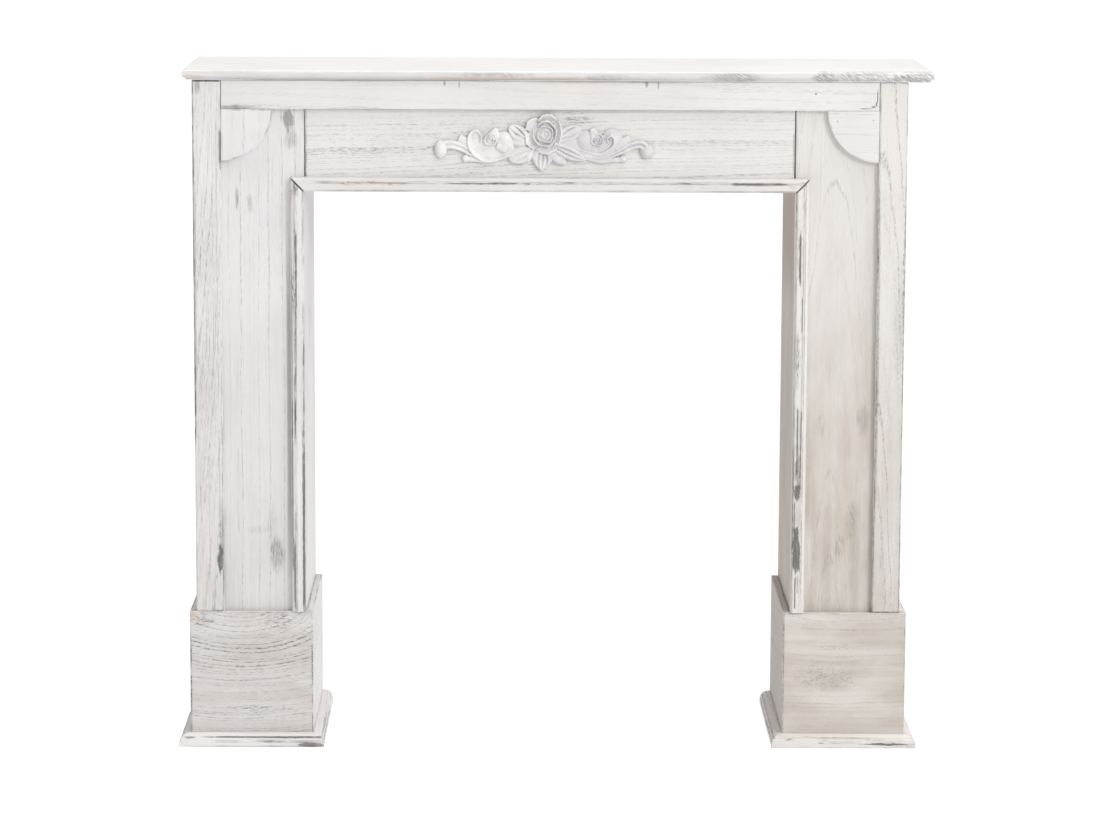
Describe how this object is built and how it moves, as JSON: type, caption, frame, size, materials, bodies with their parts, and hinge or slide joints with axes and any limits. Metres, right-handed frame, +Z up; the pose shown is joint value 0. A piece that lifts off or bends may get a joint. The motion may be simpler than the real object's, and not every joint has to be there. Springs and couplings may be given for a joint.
{
  "type": "fireplace mantelpiece",
  "caption": "Whitewashed wooden fireplace mantelpiece with a moulded shelf, boxed legs on plinths, a mitred opening moulding and a carved rose ornament on the frieze.",
  "frame": {"origin": "middle of the overall outline at floor level", "axes": "+X to the right as seen from the room, +Y towards the wall behind, +Z up"},
  "size_m": [1.1002, 0.2992, 1],
  "materials": {
    "whitewash_cool": "cool grey-white wash over light wood, grain showing, edges rubbed dark",
    "whitewash_warm": "warm cream-white wash over light wood, faint grain, edges rubbed dark",
    "whitewash_frieze": "off-white wash over light wood, horizontal grain, worn arrises",
    "whitewash_shelf": "smooth white wash, front edge rubbed through to grey and bare wood",
    "carving_paint": "matt off-white paint on a carved applique"
  },
  "bodies": {
    "root": {"shelf_board": "whitewash_shelf", "top_rail": "whitewash_frieze", "frieze_board": "whitewash_frieze", "opening_soffit": "whitewash_frieze", "opening_moulding_top": "whitewash_frieze", "opening_moulding_left": "whitewash_cool", "opening_moulding_right": "whitewash_warm", "left_stile": "whitewash_cool", "left_corner_bracket": "whitewash_cool", "left_leg_front": "whitewash_cool", "left_leg_inner_side": "whitewash_cool", "left_leg_outer_side": "whitewash_cool", "left_plinth_front": "whitewash_cool", "left_plinth_inner_side": "whitewash_cool", "left_plinth_outer_side": "whitewash_cool", "left_foot_moulding_front": "whitewash_cool", "left_foot_moulding_inner_side": "whitewash_cool", "left_foot_moulding_outer_side": "whitewash_cool", "right_stile": "whitewash_warm", "right_corner_bracket": "whitewash_warm", "right_leg_front": "whitewash_warm", "right_leg_inner_side": "whitewash_warm", "right_leg_outer_side": "whitewash_warm", "right_plinth_front": "whitewash_warm", "right_plinth_inner_side": "whitewash_warm", "right_plinth_outer_side": "whitewash_warm", "right_foot_moulding_front": "whitewash_warm", "right_foot_moulding_inner_side": "whitewash_warm", "right_foot_moulding_outer_side": "whitewash_warm", "carved_ornament": "carving_paint"}
  },
  "joints": []
}
